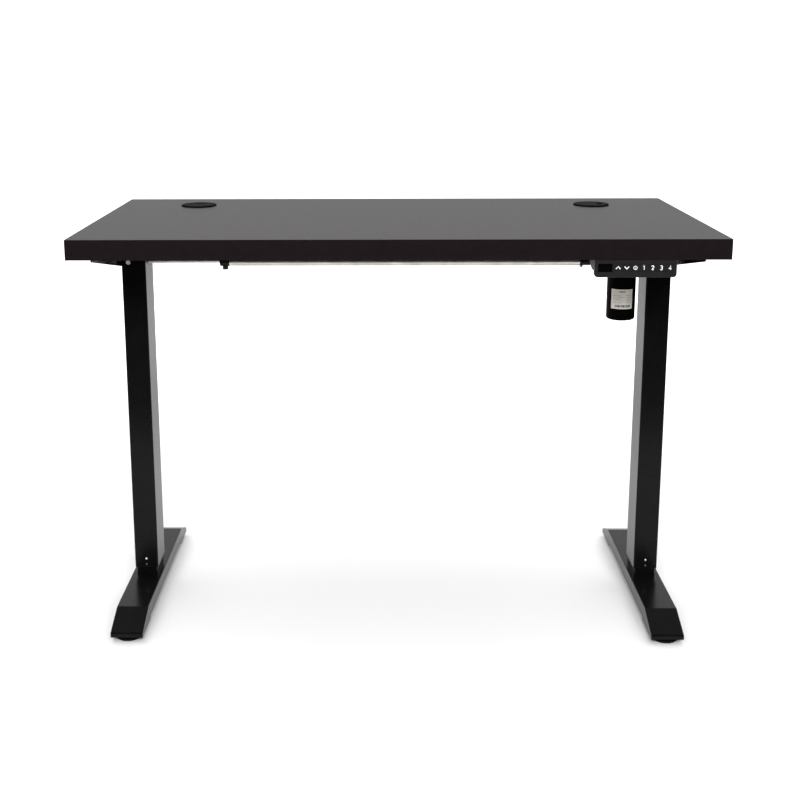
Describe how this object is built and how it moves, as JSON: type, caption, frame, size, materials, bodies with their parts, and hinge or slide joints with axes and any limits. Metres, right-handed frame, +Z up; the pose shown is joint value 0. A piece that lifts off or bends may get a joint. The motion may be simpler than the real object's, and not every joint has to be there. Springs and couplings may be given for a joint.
{
  "type": "height adjustable standing desk",
  "caption": "Rectangular black desk on two telescoping steel legs with long feet, raised by a motor and cross rod, with a front key panel and cable grommets.",
  "frame": {"origin": "on the floor under the centre of the desktop", "axes": "+X to the right of a person sitting at the front, +Y to the rear edge, +Z up"},
  "size_m": [1.2192, 0.6096, 0.826],
  "materials": {
    "laminate_black": "matte black melamine",
    "edge_black": "matte black edge band",
    "black_steel": "fine-textured black powder coat",
    "zinc_steel": "bright zinc plate",
    "dark_steel": "black oxide",
    "gear_steel": "ground steel",
    "die_cast": "cast, bead blasted",
    "bearing_brass": "sintered bronze",
    "acetal_white": "satin acetal",
    "acetal_black": "satin acetal",
    "moulded_black": "fine spark-eroded texture",
    "pad_black": "matte",
    "window_black": "polished",
    "board_green": "solder mask",
    "magnet_grey": "ferrite"
  },
  "bodies": {
    "base": {"left_foot": "black_steel", "right_foot": "black_steel", "left_inner_column": "black_steel", "right_inner_column": "black_steel", "foot_bolts": "dark_steel", "lead_nuts": "acetal_white", "upper_glides": "acetal_white", "levelling_crossbars": "dark_steel"},
    "top": {"desktop_board": "laminate_black", "edge_bands": "edge_black", "grommet_liners": "moulded_black", "left_side_bracket": "black_steel", "right_side_bracket": "black_steel", "crossbeams": "black_steel", "left_outer_column": "black_steel", "right_outer_column": "black_steel", "lower_glides": "acetal_black", "glide_screws": "zinc_steel", "gearbox_housings": "die_cast", "gearbox_covers": "die_cast", "gearbox_bearings": "bearing_brass", "motor_can": "black_steel", "motor_magnets": "magnet_grey", "motor_gear_case": "moulded_black", "frame_bolts": "zinc_steel", "board_screws": "dark_steel", "small_screws": "dark_steel", "control_box_base": "moulded_black", "control_box_sockets": "moulded_black", "control_box_lid": "moulded_black", "circuit_boards": "board_green", "handset_housing": "moulded_black", "handset_window": "window_black"},
    "left_screw": {"left_lead_screw": "gear_steel", "left_screw_gear": "gear_steel"},
    "right_screw": {"right_lead_screw": "gear_steel", "right_screw_gear": "gear_steel"},
    "drive_line": {"hex_rod": "zinc_steel", "rod_tube": "zinc_steel", "rod_collar": "acetal_black", "rod_coupling": "acetal_black", "rod_clamp_screws": "dark_steel", "output_shaft": "zinc_steel", "drive_gears": "gear_steel"},
    "rotor": {"motor_rotor": "gear_steel", "motor_pinion": "gear_steel"},
    "cap_left": {"grommet_cap_left": "moulded_black"},
    "leveller_front_left": {"levelling_foot_front_left": "pad_black"},
    "leveller_rear_left": {"levelling_foot_rear_left": "pad_black"},
    "cap_right": {"grommet_cap_right": "moulded_black"},
    "leveller_front_right": {"levelling_foot_front_right": "pad_black"},
    "leveller_rear_right": {"levelling_foot_rear_right": "pad_black"},
    "key_up": {"key_up": "moulded_black"},
    "key_down": {"key_down": "moulded_black"},
    "key_store": {"key_store": "moulded_black"},
    "key_one": {"key_one": "moulded_black"},
    "key_two": {"key_two": "moulded_black"},
    "key_three": {"key_three": "moulded_black"},
    "key_four": {"key_four": "moulded_black"}
  },
  "joints": [
    {"name": "lift", "type": "slide", "parent": "base", "child": "top", "axis": [0, 0, 1], "range_m": [-0.012, 0.47]},
    {"name": "left_screw_turn", "type": "hinge", "parent": "top", "child": "left_screw", "pos_m": [-0.54, 0, 0.73], "axis": [0, 0, 1], "continuous": true},
    {"name": "right_screw_turn", "type": "hinge", "parent": "top", "child": "right_screw", "pos_m": [0.54, 0, 0.73], "axis": [0, 0, 1], "continuous": true},
    {"name": "drive_line_turn", "type": "hinge", "parent": "top", "child": "drive_line", "pos_m": [0, 0, 0.73], "axis": [1, 0, 0], "continuous": true},
    {"name": "rotor_turn", "type": "hinge", "parent": "top", "child": "rotor", "pos_m": [0.472, 0, 0.73], "axis": [0, 0, 1], "continuous": true},
    {"name": "cap_left_turn", "type": "hinge", "parent": "top", "child": "cap_left", "pos_m": [-0.435, 0.185, 0.823], "axis": [0, 0, 1], "continuous": true},
    {"name": "leveller_front_left_adjust", "type": "slide", "parent": "base", "child": "leveller_front_left", "axis": [0, 0, -1], "range_m": [0, 0.01]},
    {"name": "leveller_rear_left_adjust", "type": "slide", "parent": "base", "child": "leveller_rear_left", "axis": [0, 0, -1], "range_m": [0, 0.01]},
    {"name": "cap_right_turn", "type": "hinge", "parent": "top", "child": "cap_right", "pos_m": [0.435, 0.185, 0.823], "axis": [0, 0, 1], "continuous": true},
    {"name": "leveller_front_right_adjust", "type": "slide", "parent": "base", "child": "leveller_front_right", "axis": [0, 0, -1], "range_m": [0, 0.01]},
    {"name": "leveller_rear_right_adjust", "type": "slide", "parent": "base", "child": "leveller_rear_right", "axis": [0, 0, -1], "range_m": [0, 0.01]},
    {"name": "key_up_press", "type": "slide", "parent": "top", "child": "key_up", "axis": [0, 1, 0], "range_m": [0, 0.0008], "stiffness_N_per_m": 800, "springref_m": -0.0004},
    {"name": "key_down_press", "type": "slide", "parent": "top", "child": "key_down", "axis": [0, 1, 0], "range_m": [0, 0.0008], "stiffness_N_per_m": 800, "springref_m": -0.0004},
    {"name": "key_store_press", "type": "slide", "parent": "top", "child": "key_store", "axis": [0, 1, 0], "range_m": [0, 0.0008], "stiffness_N_per_m": 800, "springref_m": -0.0004},
    {"name": "key_one_press", "type": "slide", "parent": "top", "child": "key_one", "axis": [0, 1, 0], "range_m": [0, 0.0008], "stiffness_N_per_m": 800, "springref_m": -0.0004},
    {"name": "key_two_press", "type": "slide", "parent": "top", "child": "key_two", "axis": [0, 1, 0], "range_m": [0, 0.0008], "stiffness_N_per_m": 800, "springref_m": -0.0004},
    {"name": "key_three_press", "type": "slide", "parent": "top", "child": "key_three", "axis": [0, 1, 0], "range_m": [0, 0.0008], "stiffness_N_per_m": 800, "springref_m": -0.0004},
    {"name": "key_four_press", "type": "slide", "parent": "top", "child": "key_four", "axis": [0, 1, 0], "range_m": [0, 0.0008], "stiffness_N_per_m": 800, "springref_m": -0.0004}
  ],
  "couplings": [
    {"joint": "left_screw_turn", "follows": "lift", "rad_per_m": 628.32},
    {"joint": "right_screw_turn", "follows": "lift", "rad_per_m": 628.32},
    {"joint": "drive_line_turn", "follows": "lift", "rad_per_m": 628.32},
    {"joint": "rotor_turn", "follows": "lift", "rad_per_m": -1256.6}
  ]
}
